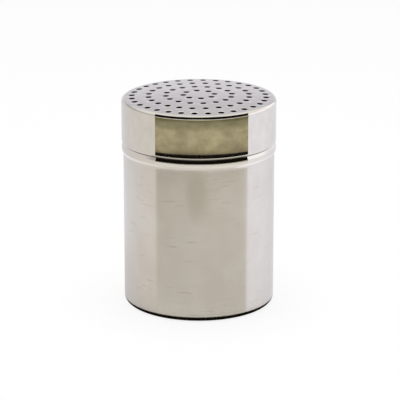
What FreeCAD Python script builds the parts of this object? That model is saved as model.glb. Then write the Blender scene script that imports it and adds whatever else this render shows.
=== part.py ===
import FreeCAD, Part
import math
import os

from FreeCAD import Vector

# A stainless steel spice shaker: a drawn cup with a threaded neck, and a perforated lid that screws on.
# Millimetres. The origin is the middle of the base, on the surface that the shaker stands on, and +Z is up.

# Driving sizes of the whole
total_h = 96.7
lid_r = 35.0
sheet = 0.5

# Clearances: pieces that are fixed to each other, the lid's lip above the body, and threads that run
seat_gap = 0.05
lid_gap = 0.15
running_gap = 0.3

# Body: recessed base, bottom bend, and the mouth expanded into a socket with a steep shoulder
base_bend = 2.5
base_ring_w = 3.4
recess_h = 1.0
recess_slope_w = 1.2
recess_bend = 1.0
wall_step = 0.68
bead_step = 0.07
joggle_h = 1.4
joggle_bend = 2.0
socket_h = 3.55
shoulder_w = 0.62
shoulder_h = 1.55
shoulder_bend = 0.55
brow_w = 1.0

# Lid: domed top, bent edge, and a lower lip that is turned in
lid_h = 21.2
crown_rise = 1.13
lid_edge_bend = 1.75
lid_lip_bend = 0.85

# Rolled screw thread, the same wave in the neck ring and in the lid's ring
thread_lead = 4.5
thread_depth = 0.9
thread_bend = 1.25
thread_foot_h = 5.15
thread_head_h = 2.8
lid_thread_turns = 1.5

# Neck ring: its bends, and a rim that is turned in
neck_bend = 0.6
rim_turn_w = 0.95

# Flat sealing ring in the lid
seal_h = 1.0
seal_edge_bend = 0.7
seal_foot_bend = 0.2

# Perforation: rings of equal holes that share one start angle, placed by their shares of the plate's radius
hole_r = 1.35
hole_ring_shares = (0.2135, 0.451, 0.6857, 0.9113)
holes_per_step = 8
hole_start_deg = 7.6

# Each cut runs past the metal by this much, and no edge is made shorter than the shortest one
overrun = 1.0
shortest_edge = 0.0001

# Heights that follow from the sizes above
crown_z = total_h
lip_z = total_h - lid_h
shoulder_z = lip_z - lid_gap
socket_z = shoulder_z - socket_h

# The plate is an arc that reaches the bent edge with a slight fall
plate_r = lid_r - lid_edge_bend
crown_r = (plate_r ** 2 + crown_rise ** 2) / (2 * crown_rise)
crown_fall = math.asin(plate_r / crown_r)
plate_edge_z = crown_z - crown_rise

# The body's bead is a little narrower than the lid, and the wall below it narrower again
bead_r = lid_r - bead_step
wall_r = bead_r - wall_step

# Radii of the thread, from the skirt inwards
ring_outer_r = lid_r - sheet - seat_gap
ring_inner_r = ring_outer_r - sheet
neck_r = ring_inner_r - running_gap - thread_depth
mouth_r = neck_r - rim_turn_w
neck_wave_r = neck_r + thread_depth - thread_bend
lid_wave_r = ring_inner_r - thread_depth + thread_bend

# The lid's thread lies under the neck's, one running gap away along the line between their centres
wave_reach = 2 * thread_bend + running_gap
thread_drop = math.sqrt(wave_reach ** 2 - (lid_wave_r - neck_wave_r) ** 2)
neck_thread_z = shoulder_z + thread_foot_h
lid_thread_z = neck_thread_z - thread_drop

# Heights of the seal and of what touches it
seal_top_z = plate_edge_z - sheet - seat_gap
seal_foot_z = seal_top_z - seal_h
ring_top_z = seal_foot_z - seat_gap
ring_foot_z = lip_z + lid_lip_bend + seat_gap
neck_thread_turns = (seal_foot_z - thread_head_h - neck_thread_z) / thread_lead


def place(radius, height):
    """A point of a profile, in the plane that the profiles are turned from."""
    return Vector(radius, 0, height)


def bent_edges(corners):
    """Lines and tangent arcs along corners, each given as radius, height and bend."""
    edges = []
    here = place(corners[0][0], corners[0][1])
    for before, corner, after in zip(corners, corners[1:], corners[2:]):
        middle = place(corner[0], corner[1])
        bend = corner[2]
        inward = (middle - place(before[0], before[1])).normalize()
        onward = (place(after[0], after[1]) - middle).normalize()
        half_turn = inward.getAngle(onward) / 2
        trim = bend * math.tan(half_turn)
        start = middle - inward * trim
        end = middle + onward * trim
        crest = middle + (onward - inward).normalize() * (bend / math.cos(half_turn) - bend)
        if here.distanceToPoint(start) > shortest_edge:
            edges.append(Part.makeLine(here, start))
        edges.append(Part.Arc(start, crest, end).toShape())
        here = end
    edges.append(Part.makeLine(here, place(corners[-1][0], corners[-1][1])))
    return edges


def shifted(corners, gap):
    """The same path moved to its left by gap, with every bend about the same centre."""
    sides = []
    for here, there in zip(corners, corners[1:]):
        run = (place(there[0], there[1]) - place(here[0], here[1])).normalize()
        sides.append((-run.z, run.x))
    moved = []
    for index, (radius, height, bend) in enumerate(corners):
        before = sides[max(index - 1, 0)]
        after = sides[min(index, len(sides) - 1)]
        facing = 1 + before[0] * after[0] + before[1] * after[1]
        turn = before[0] * after[1] - before[1] * after[0]
        new_radius = radius + gap * (before[0] + after[0]) / facing
        new_height = height + gap * (before[1] + after[1]) / facing
        new_bend = bend
        if turn > 0:
            new_bend = bend - gap
        if turn < 0:
            new_bend = bend + gap
        moved.append((new_radius, new_height, new_bend))
    return moved


def turned_sheet(corners, gap):
    """Sheet metal turned about the axis: one side follows corners, the other lies gap to their left."""
    other = shifted(corners, gap)
    ends = []
    for mine, theirs in ((corners[0], other[0]), (corners[-1], other[-1])):
        ends.append(Part.makeLine(place(mine[0], mine[1]), place(theirs[0], theirs[1])))
    edges = Part.__sortEdges__(bent_edges(corners) + bent_edges(other) + ends)
    return Part.Face(Part.Wire(edges)).revolve(Vector(0, 0, 0), Vector(0, 0, 1), 360)


def thread_rod(path_r, rod_r, turns, foot_z):
    """A round rod wound into a right-hand thread, with rounded ends."""
    height = thread_lead * turns
    helix = Part.makeHelix(thread_lead, height, path_r)
    rise = math.atan2(thread_lead, 2 * math.pi * path_r)
    along = Vector(0, math.cos(rise), math.sin(rise))
    start = Vector(path_r, 0, 0)
    section = Part.Wire(Part.makeCircle(rod_r, start, along))
    rod = Part.Wire(helix.Edges).makePipeShell([section], True, True)
    for angle, z in ((0, 0), (2 * math.pi * turns, height)):
        outward = Vector(math.cos(angle), math.sin(angle), 0)
        rod = rod.fuse(Part.makeSphere(rod_r, outward * path_r + Vector(0, 0, z), outward))
    rod.translate(Vector(0, 0, foot_z))
    return rod


def body_shell():
    """Drawn cup, from the middle of its base out and up to the lip that holds the neck ring."""
    ring_inner = wall_r - base_bend - base_ring_w
    corners = [
        (0, recess_h, 0),
        (ring_inner - recess_slope_w, recess_h, recess_bend),
        (ring_inner, 0, recess_bend),
        (wall_r, 0, base_bend),
        (wall_r, socket_z - joggle_h, joggle_bend),
        (bead_r, socket_z, joggle_bend),
        (bead_r, shoulder_z - shoulder_h, shoulder_bend),
        (bead_r - shoulder_w, shoulder_z, shoulder_bend),
        (bead_r - shoulder_w - brow_w, shoulder_z, 0),
    ]
    return turned_sheet(corners, sheet)


def neck_ring():
    """Pressed neck: a skirt in the socket, a shoulder under the lip, and a tube with the rolled thread."""
    joggle_turn = math.atan2(wall_step, joggle_h)
    skirt_foot_z = socket_z + joggle_bend * math.tan(joggle_turn / 2) + seat_gap
    shoulder = [
        (bead_r, skirt_foot_z, 0),
        (bead_r, shoulder_z - shoulder_h, shoulder_bend),
        (bead_r - shoulder_w, shoulder_z, shoulder_bend),
        (neck_r, shoulder_z, 0),
    ]
    foot, bend, brow, ledge = shifted(shoulder, sheet + seat_gap)
    corners = [
        foot,
        (bend[0], bend[1], neck_bend),
        (brow[0], brow[1], neck_bend),
        (neck_r, ledge[1], neck_bend),
        (neck_r, seal_foot_z, neck_bend),
        (mouth_r, seal_foot_z, 0),
    ]
    ring = turned_sheet(corners, sheet)
    ridge = thread_rod(neck_wave_r, thread_bend, neck_thread_turns, neck_thread_z)
    groove = thread_rod(neck_wave_r, thread_bend - sheet, neck_thread_turns, neck_thread_z)
    bore = Part.makeCylinder(neck_r - sheet, total_h, Vector(0, 0, 0))
    return ring.fuse(ridge.cut(bore)).cut(groove)


def lid_thread_ring():
    """Ring inside the skirt: its wall carries the lid's thread, and its top edge is turned in."""
    corners = [
        (ring_outer_r, ring_foot_z, 0),
        (ring_outer_r, ring_top_z, neck_bend),
        (neck_r + running_gap, ring_top_z, 0),
    ]
    ring = turned_sheet(corners, sheet)
    ridge = thread_rod(lid_wave_r, thread_bend, lid_thread_turns, lid_thread_z)
    groove = thread_rod(lid_wave_r, thread_bend - sheet, lid_thread_turns, lid_thread_z)
    room = Part.makeCylinder(ring_outer_r, total_h, Vector(0, 0, 0))
    return ring.fuse(ridge.common(room)).cut(groove)


def lid_shell():
    """Perforated cap, from the middle of its domed top out and down to the lip that is turned in."""
    plate_end_z = plate_edge_z - lid_edge_bend * math.tan(crown_fall)
    corners = [
        (0, crown_z, 0),
        (crown_r * math.tan(crown_fall / 2), crown_z, crown_r),
        (lid_r, plate_end_z, lid_edge_bend),
        (lid_r, lip_z, lid_lip_bend),
        (ring_inner_r, lip_z, 0),
    ]
    cap = turned_sheet(corners, -sheet)
    cut_foot_z = plate_edge_z - sheet - overrun
    cut_h = crown_z + overrun - cut_foot_z
    punches = []
    for number, share in enumerate(hole_ring_shares, start=1):
        ring_r = plate_r * share
        count = holes_per_step * number
        for index in range(count):
            angle = math.radians(hole_start_deg + 360 * index / count)
            foot = Vector(ring_r * math.cos(angle), ring_r * math.sin(angle), cut_foot_z)
            punches.append(Part.makeCylinder(hole_r, cut_h, foot))
    return cap.cut(Part.makeCompound(punches))


def lid_seal():
    """Flat ring of soft rubber, with its upper edge rounded to lie in the bend of the lid."""
    outer_r = ring_inner_r - seat_gap
    corners = [
        (mouth_r, seal_foot_z, 0),
        (outer_r, seal_foot_z, seal_foot_bend),
        (outer_r, seal_top_z, seal_edge_bend),
        (mouth_r, seal_top_z, 0),
    ]
    inner_side = Part.makeLine(place(mouth_r, seal_top_z), place(mouth_r, seal_foot_z))
    section = Part.Face(Part.Wire(bent_edges(corners) + [inner_side]))
    return section.revolve(Vector(0, 0, 0), Vector(0, 0, 1), 360)


def main():
    os.makedirs("parts", exist_ok=True)
    for build in (body_shell, neck_ring, lid_shell, lid_thread_ring, lid_seal):
        shape = build()
        shape.exportStep(os.path.join("parts", build.__name__ + ".step"))
        print(build.__name__, len(shape.Solids), "solid", round(shape.Volume, 1), "mm3", shape.isValid())


main()
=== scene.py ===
import math

import bmesh
import bpy
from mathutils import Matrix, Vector
from mathutils.geometry import delaunay_2d_cdt


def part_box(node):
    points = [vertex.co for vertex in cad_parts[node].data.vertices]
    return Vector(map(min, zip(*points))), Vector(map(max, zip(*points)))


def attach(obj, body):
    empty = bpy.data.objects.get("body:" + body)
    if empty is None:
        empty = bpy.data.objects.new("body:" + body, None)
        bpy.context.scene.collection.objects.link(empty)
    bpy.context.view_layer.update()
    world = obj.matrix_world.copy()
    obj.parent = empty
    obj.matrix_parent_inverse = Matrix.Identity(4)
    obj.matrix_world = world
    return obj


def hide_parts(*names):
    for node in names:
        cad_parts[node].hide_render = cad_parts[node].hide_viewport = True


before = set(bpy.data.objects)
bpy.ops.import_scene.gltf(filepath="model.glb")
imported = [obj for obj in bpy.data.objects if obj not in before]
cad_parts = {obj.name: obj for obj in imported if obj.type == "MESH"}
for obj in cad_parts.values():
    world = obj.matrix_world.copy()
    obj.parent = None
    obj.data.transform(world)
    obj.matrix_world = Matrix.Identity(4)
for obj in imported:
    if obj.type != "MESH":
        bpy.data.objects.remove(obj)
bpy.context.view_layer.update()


# Cup
# The cup is deep drawn from stainless sheet and stands on a flat ring round its recessed base. Its wall is
# brushed round the axis, and its mouth is widened into a polished bead that holds the neck.
cup_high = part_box("body_shell")[1]
sheet = 0.0005
bead_r = cup_high.x
wall_r = bead_r - 0.00068
shoulder_z = cup_high.z
base_bend = 0.0025
base_ring_w = 0.0034
recess_h = 0.001
recess_slope_w = 0.0012
recess_bend = 0.001
joggle_z = shoulder_z - 0.00355
joggle_h = 0.0014
joggle_bend = 0.002
shoulder_w = 0.00062
shoulder_h = 0.00155
shoulder_bend = 0.00055
brow_w = 0.001
round_steps = 256
degrees_per_step = 5
support = 0.00012
long_run = 4 * support
on_axis = 0.000001


def swung(arm, angle):
    """An arm turned clockwise by an angle."""
    cosine, sine = math.cos(angle), math.sin(angle)
    return Vector((arm.x * cosine + arm.y * sine, arm.y * cosine - arm.x * sine))


def bent_path(corners):
    """Points and unit normals along corners, each given as radius, height and bend."""
    points = [Vector(corner[:2]) for corner in corners]
    bends = [corner[2] for corner in corners]
    path = [(points[0], (points[1] - points[0]).normalized().orthogonal())]
    for before, corner, after, bend in zip(points, points[1:], points[2:], bends[1:]):
        inward = (corner - before).normalized()
        onward = (after - corner).normalized()
        turn = inward.angle_signed(onward)
        start = corner - inward * bend * math.tan(abs(turn) / 2)
        centre = start + inward.orthogonal() * bend * (-1 if turn > 0 else 1)
        steps = max(3, round(math.degrees(abs(turn)) / degrees_per_step))
        for step in range(steps + 1):
            angle = turn * step / steps
            path.append((centre + swung(start - centre, angle), swung(inward.orthogonal(), angle)))
    path.append((points[-1], (points[-1] - points[-2]).normalized().orthogonal()))
    return with_support(path)


def with_support(path):
    """The path with a point near each end of its long straight runs, which keeps the bends' shading tight."""
    held = [path[0]]
    for (here, normal), (there, next_normal) in zip(path, path[1:]):
        gap = there - here
        if gap.length > long_run:
            held.append((here + gap.normalized() * support, normal))
            held.append((there - gap.normalized() * support, normal))
        held.append((there, next_normal))
    return held


def sheet_outline(corners, thickness):
    """Closed outline of a bent sheet whose other side lies thickness to the left of corners."""
    path = bent_path(corners)
    near = [point for point, normal in path]
    far = [point + normal * thickness for point, normal in path]
    return near + far[::-1]


def ring_at(shape, radius, height):
    """A ring of vertices about the axis."""
    ring = []
    for step in range(round_steps):
        angle = math.tau * step / round_steps
        ring.append(shape.verts.new((radius * math.cos(angle), radius * math.sin(angle), height)))
    return ring


def turned(name, outline):
    """A mesh made by turning a closed outline, given as radius and height, about the axis."""
    shape = bmesh.new()
    rings = []
    for radius, height in outline:
        if radius < on_axis:
            rings.append([shape.verts.new((0, 0, height))] * round_steps)
        else:
            rings.append(ring_at(shape, radius, height))
    for lower, upper in zip(rings, rings[1:] + rings[:1]):
        for step in range(round_steps):
            corners = (lower[step - 1], lower[step], upper[step], upper[step - 1])
            face = list(dict.fromkeys(corners))
            if len(face) > 2:
                shape.faces.new(face)
    return finished(name, shape)


sharp_angle = math.radians(40)


def finished(name, shape):
    """The object for a shape, smooth apart from its sharp edges."""
    bmesh.ops.recalc_face_normals(shape, faces=shape.faces)
    mesh = bpy.data.meshes.new(name)
    shape.to_mesh(mesh)
    shape.free()
    mesh.shade_smooth()
    mesh.set_sharp_from_angle(angle=sharp_angle)
    piece = bpy.data.objects.new(name, mesh)
    bpy.context.scene.collection.objects.link(piece)
    return piece


def finish_nodes(name, colour, roughness):
    """A bare metal finish, with its shader and the object's coordinates."""
    finish = bpy.data.materials.new(name)
    finish.use_nodes = True
    nodes = finish.node_tree.nodes
    shader = nodes["Principled BSDF"]
    shader.inputs["Base Color"].default_value = (*colour, 1)
    shader.inputs["Metallic"].default_value = 1
    shader.inputs["Roughness"].default_value = roughness
    place = nodes.new("ShaderNodeTexCoord")
    return finish, shader, place.outputs["Object"]


def streaks(finish, place, scale, detail):
    """Noise stretched by scale, one number for each axis."""
    tree = finish.node_tree
    mapping = tree.nodes.new("ShaderNodeMapping")
    mapping.inputs["Scale"].default_value = scale
    noise = tree.nodes.new("ShaderNodeTexNoise")
    noise.inputs["Scale"].default_value = 1
    noise.inputs["Detail"].default_value = detail
    tree.links.new(place, mapping.inputs["Vector"])
    tree.links.new(mapping.outputs["Vector"], noise.inputs["Vector"])
    return noise.outputs["Fac"]


def ranged(finish, value, from_low, from_high, to_low, to_high):
    """A value carried from one range to another."""
    tree = finish.node_tree
    node = tree.nodes.new("ShaderNodeMapRange")
    node.inputs["From Min"].default_value = from_low
    node.inputs["From Max"].default_value = from_high
    node.inputs["To Min"].default_value = to_low
    node.inputs["To Max"].default_value = to_high
    tree.links.new(value, node.inputs["Value"])
    return node.outputs["Result"]


def tinted(finish, value, low, high):
    """A colour that runs from low to high with a value; either may be another node's colour."""
    tree = finish.node_tree
    mix = tree.nodes.new("ShaderNodeMix")
    mix.data_type = "RGBA"
    for name, colour in (("A", low), ("B", high)):
        socket = next(socket for socket in mix.inputs if socket.name == name and socket.type == "RGBA")
        if isinstance(colour, tuple):
            socket.default_value = (*colour, 1)
        else:
            tree.links.new(colour, socket)
    tree.links.new(value, mix.inputs["Factor"])
    return next(socket for socket in mix.outputs if socket.type == "RGBA")


def scratched(finish, shader, value, depth, strength):
    """Bump from a value, as strong as strength, which is a number or another node's value."""
    tree = finish.node_tree
    bump = tree.nodes.new("ShaderNodeBump")
    bump.inputs["Distance"].default_value = depth
    if isinstance(strength, float):
        bump.inputs["Strength"].default_value = strength
    else:
        tree.links.new(strength, bump.inputs["Strength"])
    tree.links.new(value, bump.inputs["Height"])
    tree.links.new(bump.outputs["Normal"], shader.inputs["Normal"])


def added(finish, one, other):
    """The sum of two values."""
    node = finish.node_tree.nodes.new("ShaderNodeMath")
    finish.node_tree.links.new(one, node.inputs[0])
    finish.node_tree.links.new(other, node.inputs[1])
    return node.outputs["Value"]


def multiplied(finish, one, other):
    """The product of two values."""
    node = finish.node_tree.nodes.new("ShaderNodeMath")
    node.operation = "MULTIPLY"
    finish.node_tree.links.new(one, node.inputs[0])
    finish.node_tree.links.new(other, node.inputs[1])
    return node.outputs["Value"]


def oval_patch(finish, place, middle, reach):
    """1 in the middle of a soft oval patch, falling to 0 at its reach along each axis."""
    tree = finish.node_tree
    away = tree.nodes.new("ShaderNodeVectorMath")
    away.operation = "SUBTRACT"
    away.inputs[1].default_value = middle
    share = tree.nodes.new("ShaderNodeVectorMath")
    share.operation = "DIVIDE"
    share.inputs[1].default_value = reach
    length = tree.nodes.new("ShaderNodeVectorMath")
    length.operation = "LENGTH"
    tree.links.new(place, away.inputs[0])
    tree.links.new(away.outputs["Vector"], share.inputs[0])
    tree.links.new(share.outputs["Vector"], length.inputs[0])
    return ranged(finish, length.outputs["Value"], 0.4, 1, 1, 0)


# Where the painted reflection of the dark front lies on the cup's wall, and how far it reaches.
front_reflection_place = (-0.0008, -0.0342, 0.060)
front_reflection_reach = (0.0060, 0.01, 0.016)
foot_shiny_z = (0.0012, 0.0035)
polished_z = (joggle_z - 0.0012, joggle_z - 0.0004)
# Heights of the painted highlight along the top of the joggle.
bead_highlight_z = (joggle_z - 0.0002, joggle_z + 0.0006)
brush_depth = 0.00002


def brushed_steel():
    """Satin steel brushed round the axis, polished from the joggle up, with painted reflection and highlight.
    """
    finish, shader, place = finish_nodes("brushed_steel", (0.60, 0.58, 0.55), 0.2)
    tree = finish.node_tree
    shader.inputs["Anisotropic"].default_value = 1.0
    shader.inputs["Anisotropic Rotation"].default_value = 0.25
    tangent = tree.nodes.new("ShaderNodeTangent")
    tangent.direction_type = "RADIAL"
    tangent.axis = "Z"
    tree.links.new(tangent.outputs["Tangent"], shader.inputs["Tangent"])
    split = tree.nodes.new("ShaderNodeSeparateXYZ")
    tree.links.new(place, split.inputs["Vector"])
    fine = streaks(finish, place, (90, 90, 5200), 3)
    grain = ranged(finish, fine, 0.3, 0.7, 0, 1)
    brushed = tinted(finish, grain, (0.685, 0.665, 0.635), (0.705, 0.685, 0.655))
    patches = ranged(finish, streaks(finish, place, (80, 80, 55), 2), 0.4, 0.62, 0, 1)
    patched = tinted(finish, patches, brushed, (0.665, 0.64, 0.605))
    scratches = ranged(finish, streaks(finish, place, (110, 110, 2600), 1), 0.70, 0.75, 0, 1)
    scratchy = tinted(finish, scratches, patched, (0.52, 0.50, 0.47))
    # Painted reflection: a darker, warmer oval on the wall's front below the bead, standing in for the dark
    # front it mirrors.
    front_reflection = oval_patch(finish, place, front_reflection_place, front_reflection_reach)
    wall_with_reflection = tinted(finish, front_reflection, scratchy, (0.59, 0.56, 0.505))
    # Painted highlight: the base colour is made brighter in a band at the top of the joggle, just below the
    # bead.
    bead_highlight = ranged(finish, split.outputs["Z"], *bead_highlight_z, 1, 0)
    bead = tinted(finish, bead_highlight, (0.70, 0.68, 0.65), (0.86, 0.84, 0.81))
    steel = tinted(finish, ranged(finish, split.outputs["Z"], *polished_z, 0, 1), wall_with_reflection, bead)
    tree.links.new(steel, shader.inputs["Base Color"])
    foot = ranged(finish, split.outputs["Z"], *foot_shiny_z, -0.16, 0)
    wall_rough = ranged(finish, split.outputs["Z"], *polished_z, 0.22, 0.03)
    tree.links.new(added(finish, foot, wall_rough), shader.inputs["Roughness"])
    scratched(finish, shader, fine, brush_depth, ranged(finish, split.outputs["Z"], *polished_z, 0.1, 0))
    return finish


cup_corners = [
    (0, recess_h, 0),
    (wall_r - base_bend - base_ring_w - recess_slope_w, recess_h, recess_bend),
    (wall_r - base_bend - base_ring_w, 0, recess_bend),
    (wall_r, 0, base_bend),
    (wall_r, joggle_z - joggle_h, joggle_bend),
    (bead_r, joggle_z, joggle_bend),
    (bead_r, shoulder_z - shoulder_h, shoulder_bend),
    (bead_r - shoulder_w, shoulder_z, shoulder_bend),
    (bead_r - shoulder_w - brow_w, shoulder_z, 0),
]
cup = turned("cup", sheet_outline(cup_corners, sheet))
cup.data.materials.append(brushed_steel())
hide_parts("body_shell")
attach(cup, "shaker_body")


# Lid
# The lid is drawn from the same sheet and polished. Its slightly domed top has four rings of punched holes,
# and its smooth skirt ends in a lip that is turned in, with a painted dim reflection and painted black shade
# at its seam, at the front.
lid_low, lid_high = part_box("lid_shell")
lid_r = lid_high.x
crown_z = lid_high.z
lip_z = lid_low.z
crown_rise = 0.00113
edge_bend = 0.00175
lip_bend = 0.00085
lip_w = 0.00105
plate_r = lid_r - edge_bend
crown_r = (plate_r ** 2 + crown_rise ** 2) / (2 * crown_rise)
crown_fall = math.asin(plate_r / crown_r)
plate_edge_z = crown_z - crown_rise
hole_r = 0.00135
hole_ring_shares = (0.2135, 0.451, 0.6857, 0.9113)
holes_per_step = 8
hole_start = math.radians(7.6)
hole_steps = 32
hole_roll = 0.00006
hole_roll_steps = 3
plate_spacing = 0.0022
same_point = 1e-9
hole_inside_share = 0.99


def hole_centres():
    """Middles of the holes, ring by ring."""
    centres = []
    for number, share in enumerate(hole_ring_shares, start=1):
        ring_r = plate_r * share
        count = holes_per_step * number
        for index in range(count):
            angle = hole_start + math.tau * index / count
            centres.append(Vector((ring_r * math.cos(angle), ring_r * math.sin(angle))))
    return centres


def circle(centre, radius, steps):
    """Evenly spaced points of a circle."""
    points = []
    for step in range(steps):
        angle = math.tau * step / steps
        points.append(centre + Vector((math.cos(angle), math.sin(angle))) * radius)
    return points


def plate_points(edge_ring, rim_r):
    """Points of the plate from above, and the edges that bound it.

    The plate's own edge and a circle round each hole come first, then rings of points between them.
    """
    centres = hole_centres()
    points = [Vector(vert.co[:2]) for vert in edge_ring]
    loops = [list(range(len(points)))]
    for centre in centres:
        first = len(points)
        points += circle(centre, rim_r, hole_steps)
        loops.append(list(range(first, len(points))))
    edges = []
    for loop in loops:
        edges += list(zip(loop, loop[1:] + loop[:1]))
    edge_r = points[0].length
    ring_count = round(edge_r / plate_spacing)
    clear = rim_r + plate_spacing / 3
    for number in range(ring_count):
        radius = edge_r * number / ring_count
        steps = max(1, round(math.tau * radius / plate_spacing))
        for point in circle(Vector((0, 0)), radius, steps):
            if all((point - centre).length > clear for centre in centres):
                points.append(point)
    return points, edges


def domed_plate(shape, depth, edge_ring, rim_r):
    """One side of the perforated plate, from edge_ring to a circle round each hole; gives those circles."""
    centres = hole_centres()
    points, edges = plate_points(edge_ring, rim_r)
    bound_count = len(edges)
    flat, _, faces, origins, _, _ = delaunay_2d_cdt(points, edges, [], 0, same_point)
    verts = []
    for index, point in enumerate(flat):
        source = origins[index][0] if origins[index] else bound_count
        if source < len(edge_ring):
            verts.append(edge_ring[source])
        else:
            verts.append(shape.verts.new((point.x, point.y, plate_height(point.length, depth))))
    rims = [[None] * hole_steps for _ in centres]
    for index, sources in enumerate(origins):
        for source in sources:
            if len(edge_ring) <= source < bound_count:
                hole, step = divmod(source - len(edge_ring), hole_steps)
                rims[hole][step] = verts[index]
    for face in faces:
        middle = sum((flat[index] for index in face), Vector((0, 0))) / len(face)
        if all((middle - centre).length > rim_r * hole_inside_share for centre in centres):
            shape.faces.new([verts[index] for index in face])
    return rims


def plate_height(radius, depth):
    """Height of the plate at a radius, depth below its outer side."""
    arc_r = crown_r - depth
    return crown_z - crown_r + math.sqrt(arc_r ** 2 - radius ** 2)


def ring_of(shape, outline):
    """Rings of vertices down an outline, joined by faces."""
    rings = [ring_at(shape, radius, height) for radius, height in outline]
    for lower, upper in zip(rings, rings[1:]):
        for step in range(round_steps):
            shape.faces.new((lower[step - 1], lower[step], upper[step], upper[step - 1]))
    return rings


def lid_mesh():
    """The whole lid as one closed mesh."""
    shape = bmesh.new()
    plate_end_z = plate_edge_z - edge_bend * math.tan(crown_fall)
    corners = [
        (plate_r, plate_edge_z, 0),
        (lid_r, plate_end_z, edge_bend),
        (lid_r, lip_z, lip_bend),
        (lid_r - lip_w, lip_z, 0),
    ]
    outline = sheet_outline(corners, -sheet)
    rings = ring_of(shape, outline)
    top_rims = domed_plate(shape, 0, rings[0], hole_r + hole_roll)
    under_rims = domed_plate(shape, sheet, rings[-1], hole_r)
    for centre, top, under in zip(hole_centres(), top_rims, under_rims):
        hole_wall(shape, centre, top, under)
    return shape


def hole_wall(shape, centre, top, under):
    """The wall of one hole, from its rolled upper edge down to the under side of the plate."""
    above = top
    for step in range(1, hole_roll_steps + 1):
        angle = math.pi / 2 * step / hole_roll_steps
        radius = hole_r + hole_roll * (1 - math.sin(angle))
        drop = hole_roll * (1 - math.cos(angle))
        ring = []
        for point in circle(centre, radius, hole_steps):
            ring.append(shape.verts.new((point.x, point.y, plate_height(point.length, drop))))
        bridged(shape, above, ring)
        above = ring
    bridged(shape, above, under)


def bridged(shape, one, other):
    """Torn faces between two rings of as many vertices."""
    for step in range(len(one)):
        face = shape.faces.new((one[step - 1], one[step], other[step], other[step - 1]))
        face.material_index = 1


# The front arc where the lip's reflection is painted dim and its seam painted black as shade, and their
# heights.
front_arc_y = (-0.0265, -0.029)
lip_dim_z = (lip_z + 0.00065, lip_z + 0.0009)
seam_shade_z = (lip_z + 0.00012, lip_z + 0.0002)
smudge_depth = 0.00001


def polished_steel():
    """Polished stainless steel with faint smudges; at the front, painted dim reflection on the lip and shade
    at its seam.
    """
    finish, shader, place = finish_nodes("polished_steel", (0.70, 0.68, 0.65), 0.02)
    tree = finish.node_tree
    split = tree.nodes.new("ShaderNodeSeparateXYZ")
    tree.links.new(place, split.inputs["Vector"])
    smudges = ranged(finish, streaks(finish, place, (260, 260, 200), 5), 0.35, 0.68, 0, 1)
    steel = tinted(finish, smudges, (0.72, 0.70, 0.67), (0.67, 0.65, 0.62))
    # Painted reflection and shade on the front arc only: the lip dimmed, and a black line at the seam for the
    # shade of the gap.
    front_arc = ranged(finish, split.outputs["Y"], *front_arc_y, 0, 1)
    lip = ranged(finish, split.outputs["Z"], *lip_dim_z, 1, 0)
    lip_painted_dim = tinted(finish, multiplied(finish, lip, front_arc), steel, (0.38, 0.365, 0.33))
    seam = ranged(finish, split.outputs["Z"], *seam_shade_z, 1, 0)
    seam_painted_shade = tinted(finish, multiplied(finish, seam, front_arc), lip_painted_dim, (0.04, 0.036, 0.03))
    tree.links.new(seam_painted_shade, shader.inputs["Base Color"])
    scratched(finish, shader, streaks(finish, place, (700, 700, 420), 4), smudge_depth, 0.05)
    return finish


def shaded_punched_edge():
    """The torn wall of a punched hole, rough, and painted nearly black as the shade inside the hole."""
    finish, shader, place = finish_nodes("shaded_punched_edge", (0.1, 0.095, 0.09), 0.5)
    torn = streaks(finish, place, (3000, 3000, 900), 2)
    # Painted shade: the hole's wall is made nearly black for the dark inside the hole.
    painted_hole_shade = tinted(finish, torn, (0.01, 0.009, 0.008), (0.03, 0.028, 0.026))
    finish.node_tree.links.new(painted_hole_shade, shader.inputs["Base Color"])
    return finish


lid = finished("lid", lid_mesh())
lid.data.materials.append(polished_steel())
lid.data.materials.append(shaded_punched_edge())
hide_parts("lid_shell")
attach(lid, "lid")


# Neck ring, thread ring and seal
# The two rings are pressed from sheet, each with a rolled thread. One is spot-welded in the cup's socket and
# the other in the lid's skirt. The seal is a flat ring of silicone rubber between the neck and the lid's top.
rubber_depth = 0.002


def pressed_steel():
    """Plain pressed stainless steel, as it leaves the press."""
    finish, shader, place = finish_nodes("pressed_steel", (0.62, 0.61, 0.59), 0.28)
    marks = streaks(finish, place, (300, 300, 900), 4)
    steel = tinted(finish, marks, (0.58, 0.57, 0.55), (0.66, 0.65, 0.63))
    finish.node_tree.links.new(steel, shader.inputs["Base Color"])
    return finish


def soft_rubber():
    """Milky silicone rubber."""
    finish, shader, place = finish_nodes("soft_rubber", (0.82, 0.81, 0.78), 0.45)
    shader.inputs["Metallic"].default_value = 0
    shader.inputs["Subsurface Weight"].default_value = 0.3
    shader.inputs["Subsurface Scale"].default_value = rubber_depth
    cloudy = streaks(finish, place, (400, 400, 400), 3)
    milky = tinted(finish, cloudy, (0.80, 0.79, 0.76), (0.86, 0.85, 0.82))
    finish.node_tree.links.new(milky, shader.inputs["Base Color"])
    return finish


inner_finish = pressed_steel()
for node in ("neck_ring", "lid_thread_ring"):
    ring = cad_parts[node]
    ring.data.materials.clear()
    ring.data.materials.append(inner_finish)
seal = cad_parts["lid_seal"]
seal.data.materials.clear()
seal.data.materials.append(soft_rubber())


# Studio
# The shaker stands on a white floor under one wide lamp. Plain matt cards, which only its steel sees, lie and
# stand round it, each where the wall or the bends mirror it to the camera.
camera_place = Vector((0, -0.9549, 0.3405))
front = (-33.4, 38.3)
left = (-90, front[0])
right = (front[1], 90)
degrees_per_facing = 1.5
lift = 0.0003
wall = 0.87
hood_gap = 0.1
lid_middle_z = 0.085


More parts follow.
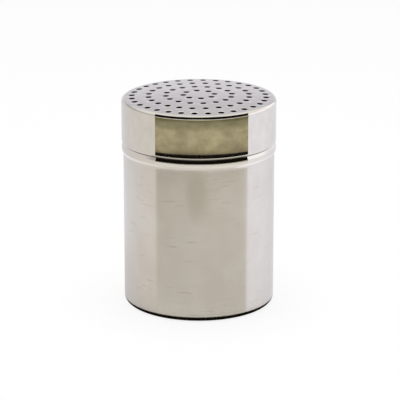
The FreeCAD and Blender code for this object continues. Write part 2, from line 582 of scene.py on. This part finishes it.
def mirrored(facing, tilt, level):
    """Foot of the mirror and direction that the camera sees in it, for steel that faces one way, tilted up.

    Facing 0 is towards the camera, and 90 is to its right. The direction is level, or has its true rise.
    """
    angle = math.radians(facing)
    rise = math.radians(tilt)
    outward = Vector((math.sin(angle), -math.cos(angle), 0))
    foot = outward * wall_r
    normal = outward * math.cos(rise) + Vector((0, 0, math.sin(rise)))
    sight = camera_place - foot
    if level:
        sight.z = 0
    else:
        foot.z = lip_z
        sight.z -= lip_z
    sight.normalize()
    return foot, normal * (2 * normal.dot(sight)) - sight


def mottled(finish):
    """Soft grain in rings round the shaker, as a grey that darkens or lightens a colour."""
    tree = finish.node_tree
    place = tree.nodes.new("ShaderNodeTexCoord")
    split = tree.nodes.new("ShaderNodeSeparateXYZ")
    angle = tree.nodes.new("ShaderNodeMath")
    angle.operation = "ARCTAN2"
    reach = tree.nodes.new("ShaderNodeVectorMath")
    reach.operation = "LENGTH"
    polar = tree.nodes.new("ShaderNodeCombineXYZ")
    tree.links.new(place.outputs["Object"], split.inputs["Vector"])
    tree.links.new(split.outputs["X"], angle.inputs[0])
    tree.links.new(split.outputs["Y"], angle.inputs[1])
    tree.links.new(place.outputs["Object"], reach.inputs[0])
    tree.links.new(angle.outputs["Value"], polar.inputs["X"])
    tree.links.new(reach.outputs["Value"], polar.inputs["Y"])
    grain = streaks(finish, polar.outputs["Vector"], (3.5, 60, 1), 10)
    return tinted(finish, ranged(finish, grain, 0.3, 0.7, 0, 1), (0.78, 0.79, 0.77), (1.18, 1.17, 1.15))


def card_finish(name, grained):
    """A matt card that shows its own colour, painted on its points, plain or grained."""
    finish = bpy.data.materials.new(name)
    finish.use_nodes = True
    nodes = finish.node_tree.nodes
    nodes.clear()
    paint = nodes.new("ShaderNodeAttribute")
    paint.attribute_name = "paint"
    glow = nodes.new("ShaderNodeEmission")
    out = nodes.new("ShaderNodeOutputMaterial")
    shown = paint.outputs["Color"]
    if grained:
        mix = nodes.new("ShaderNodeVectorMath")
        mix.operation = "MULTIPLY"
        finish.node_tree.links.new(shown, mix.inputs[0])
        finish.node_tree.links.new(mottled(finish), mix.inputs[1])
        shown = mix.outputs["Vector"]
    finish.node_tree.links.new(shown, glow.inputs["Color"])
    finish.node_tree.links.new(glow.outputs["Emission"], out.inputs["Surface"])
    return finish


def card(name, facings, rows, grained=False):
    """A card of rows that the wall mirrors between two facings: reach, height and colours along each row."""
    lines = []
    for reach, height, *colours in rows:
        line = []
        for facing in facing_steps(facings):
            foot, along = mirrored(facing, 0, True)
            line.append(foot + along * reach + Vector((0, 0, height)))
        lines.append((line, colours))
    hung(name, lines, grained)


def bend_card(name, facings, rows):
    """A card of rows that the bends mirror between two facings: tilt and colours along each row."""
    lines = []
    for tilt, *colours in rows:
        line = []
        for facing in facing_steps(facings):
            foot, along = mirrored(facing, tilt, False)
            line.append(foot + along * (wall - hood_gap))
        lines.append((line, colours))
    hung(name, lines, False)


def facing_steps(facings):
    """Evenly spaced facings from the first to the last."""
    steps = max(1, round((facings[1] - facings[0]) / degrees_per_facing))
    return [facings[0] + (facings[1] - facings[0]) * step / steps for step in range(steps + 1)]


def hung(name, lines, grained):
    """A card through lines of points, painted with their colours from end to end, that only steel sees."""
    shape = bmesh.new()
    paint = shape.verts.layers.float_color.new("paint")
    rows = []
    for line, colours in lines:
        row = []
        for step, point in enumerate(line):
            vert = shape.verts.new(point)
            at = step / (len(line) - 1) * (len(colours) - 1)
            index = min(int(at), max(len(colours) - 2, 0))
            following = min(index + 1, len(colours) - 1)
            colour = Vector(colours[index]).lerp(Vector(colours[following]), at - index)
            vert[paint] = (*colour, 1)
            row.append(vert)
        rows.append(row)
    for lower, upper in zip(rows, rows[1:]):
        for step in range(len(lower) - 1):
            shape.faces.new((lower[step], lower[step + 1], upper[step + 1], upper[step]))
    piece = finished(name, shape)
    piece.data.materials.append(card_finish(name, grained))
    piece.visible_camera = False
    piece.visible_diffuse = False
    piece.visible_shadow = False
    piece.visible_transmission = False


def at_elevation(elevation):
    """Height on the wall that the lid sees at an elevation."""
    return lid_middle_z + wall * math.tan(math.radians(elevation))


arc_shares = (0.97, 1.03, 0.94, 0.98, 1.02, 1.12, 0.96, 0.94, 1.08)


def shaded(colour):
    """The colour of the front floor along its arc."""
    return [tuple(part * share for part in colour) for share in arc_shares]


black = (0.006, 0.005, 0.003)
bright = (1.05, 1.015, 0.955)
card("near_floor", front, [
    (0.002, lift, (0.88, 0.85, 0.78)),
    (0.02, lift, (0.74, 0.70, 0.635)),
    (0.05, lift, (0.68, 0.645, 0.58), (0.73, 0.69, 0.62)),
    (0.11, lift, (0.79, 0.75, 0.68), (0.85, 0.80, 0.73)),
    (0.15, lift, (0.81, 0.77, 0.70), (0.84, 0.79, 0.72), (0.89, 0.845, 0.78), (0.97, 0.92, 0.85)),
    (0.215, lift, (0.82, 0.78, 0.715), (0.90, 0.855, 0.79), (1.30, 1.24, 1.16), (1.15, 1.10, 1.03)),
    (0.24, lift, (0.90, 0.86, 0.79)),
    (0.2475, lift, bright),
    (0.2575, lift, bright),
])
card("black_floor", front, [(0.258, lift, black), (0.2745, lift, black)])
card("olive_floor", front, [
    (0.2745, lift, *shaded((0.27, 0.23, 0.16))),
    (0.281, lift, *shaded((0.41, 0.35, 0.21))),
    (0.301, lift, *shaded((0.50, 0.445, 0.28))),
    (0.324, lift, *shaded((0.50, 0.445, 0.28))),
    (0.333, lift, *shaded((0.37, 0.33, 0.20))),
    (0.343, lift, *shaded((0.31, 0.28, 0.175))),
    (0.348, lift, *shaded((0.20, 0.18, 0.09))),
    (0.585, lift, *shaded((0.22, 0.20, 0.11))),
    (wall, lift, (0.75, 0.70, 0.62)),
], grained=True)
card("front_strip", front, [(wall, 0, (0.9, 0.85, 0.7)), (wall, at_elevation(8), (0.95, 0.92, 0.86))])

# The hood that the bends mirror is black, with a dim patch for the lid's top as it shows from behind
dim = (0.32, 0.31, 0.29)
patched = [black] * 5 + [dim] * 2 + [black] * 6
bend_card("front_black", front, [(tilt, *patched) for tilt in (12.5, 19)])
bend_card("front_hood", front, [(19, *patched)] + [(tilt, black) for tilt in (20.5, 27.5, 34, 40.5, 47.5)])

white = (1.03, 1.0, 1.045)
ceiling_white = (1.05, 1.0, 0.94)
right_far = (1.0, 0.985, 1.03)
cream = (0.86, 0.80, 0.72)
left_far = (0.80, 0.785, 0.81)
right_edge = (0.86, 0.845, 0.87)
card("right_floor", right, [
    (0.002, lift, (0.93, 0.91, 0.92), (0.92, 0.90, 0.92), right_edge, right_edge),
    (0.07, lift, (1.02, 1.0, 1.03), right_far, right_edge, right_edge),
    (0.15, lift, (1.05, 1.035, 1.075), (1.05, 1.035, 1.08), right_edge, right_edge),
    (wall, lift, white, right_far, right_far, right_far),
])
card("right_wall", (front[1], 75), [
    (wall, 0, white),
    (wall, at_elevation(4), white),
    (wall, at_elevation(9), (1.32, 1.29, 1.30)),
    (wall, at_elevation(28), (1.32, 1.29, 1.30)),
    (wall, at_elevation(38), ceiling_white),
    (wall, at_elevation(78), ceiling_white),
])
card("left_floor", left, [
    (0.002, lift, (0.67, 0.66, 0.68), (0.73, 0.69, 0.63)),
    (0.035, lift, (0.71, 0.70, 0.72), (0.78, 0.73, 0.66)),
    (0.08, lift, left_far, cream),
    (0.12, lift, (0.865, 0.865, 0.92), (0.92, 0.885, 0.845)),
    (0.22, lift, (0.865, 0.865, 0.92), (0.92, 0.885, 0.845)),
    (0.25, lift, (0.785, 0.775, 0.81), (0.845, 0.795, 0.725)),
    (wall, lift, (0.785, 0.775, 0.81), (0.845, 0.795, 0.725)),
])
card("left_wall", (-75, front[0]), [
    (wall, 0, left_far, cream),
    (wall, at_elevation(15), left_far, cream),
    (wall, at_elevation(18.5), (0.50, 0.485, 0.47)),
    (wall, at_elevation(26), (0.50, 0.485, 0.47)),
    (wall, at_elevation(34), (0.78, 0.76, 0.74)),
    (wall, at_elevation(50), ceiling_white),
    (wall, at_elevation(78), ceiling_white),
])
card("back_wall", (75, 105), [
    (wall, 0, (0.815, 0.80, 0.85)),
    (wall, at_elevation(11), (0.815, 0.80, 0.85)),
    (wall, at_elevation(19), (0.70, 0.686, 0.735)),
    (wall, at_elevation(27), (0.70, 0.686, 0.735)),
    (wall, at_elevation(30), ceiling_white),
    (wall, at_elevation(78), ceiling_white),
])
card("ceiling", (-93, 93), [
    (wall, at_elevation(78), ceiling_white),
    (0, at_elevation(79), ceiling_white),
])
card("foot_shadow", (-90, 90), [(-0.006, lift * 2, black), (0.004, lift * 2, black)])

floor_reach = 3
floor_glow_share = 0.85


def white_floor():
    """A matt white floor that shows the camera mostly its own white, and keeps the shaker's shadow."""
    finish = bpy.data.materials.new("white_floor")
    finish.use_nodes = True
    nodes = finish.node_tree.nodes
    links = finish.node_tree.links
    shader = nodes["Principled BSDF"]
    shader.inputs["Base Color"].default_value = (0.9, 0.9, 0.9, 1)
    shader.inputs["Roughness"].default_value = 0.9
    shader.inputs["Specular IOR Level"].default_value = 0
    glow = nodes.new("ShaderNodeEmission")
    path = nodes.new("ShaderNodeLightPath")
    mix = nodes.new("ShaderNodeMixShader")
    links.new(ranged(finish, path.outputs["Is Camera Ray"], 0, 1, 0, floor_glow_share), mix.inputs["Fac"])
    links.new(shader.outputs["BSDF"], mix.inputs[1])
    links.new(glow.outputs["Emission"], mix.inputs[2])
    links.new(mix.outputs["Shader"], nodes["Material Output"].inputs["Surface"])
    return finish


floor_mesh = bmesh.new()
bmesh.ops.create_grid(floor_mesh, x_segments=1, y_segments=1, size=floor_reach)
floor = finished("floor", floor_mesh)
floor.data.materials.append(white_floor())

sky_light = 0.55
sky_white = 1
world = bpy.data.worlds.new("studio")
world.use_nodes = True
bpy.context.scene.world = world
sky = world.node_tree.nodes["Background"]
sky.inputs["Color"].default_value = (1, 1, 1, 1)
sky_path = world.node_tree.nodes.new("ShaderNodeLightPath")
sky_strength = ranged(world, sky_path.outputs["Is Camera Ray"], 0, 1, sky_light, sky_white)
world.node_tree.links.new(sky_strength, sky.inputs["Strength"])

lamp_w = 0.7
lamp_h = 1.2
lamp_watts = 9
lamp_data = bpy.data.lights.new("overhead", "AREA")
lamp_data.shape = "DISK"
lamp_data.size = lamp_w
lamp_data.energy = lamp_watts
lamp = bpy.data.objects.new("overhead", lamp_data)
lamp.location = (0, 0, lamp_h)
lamp.visible_glossy = False
bpy.context.scene.collection.objects.link(lamp)

lens_mm = 196.7
sensor_mm = 36
look_down = math.radians(17.09)
look_aside = math.radians(-0.03)
camera_data = bpy.data.cameras.new("camera")
camera_data.lens = lens_mm
camera_data.sensor_width = sensor_mm
camera = bpy.data.objects.new("camera", camera_data)
camera.location = camera_place
camera.rotation_euler = (math.pi / 2 - look_down, 0, look_aside)
bpy.context.scene.collection.objects.link(camera)
bpy.context.scene.camera = camera
bpy.context.scene.view_settings.view_transform = "Standard"
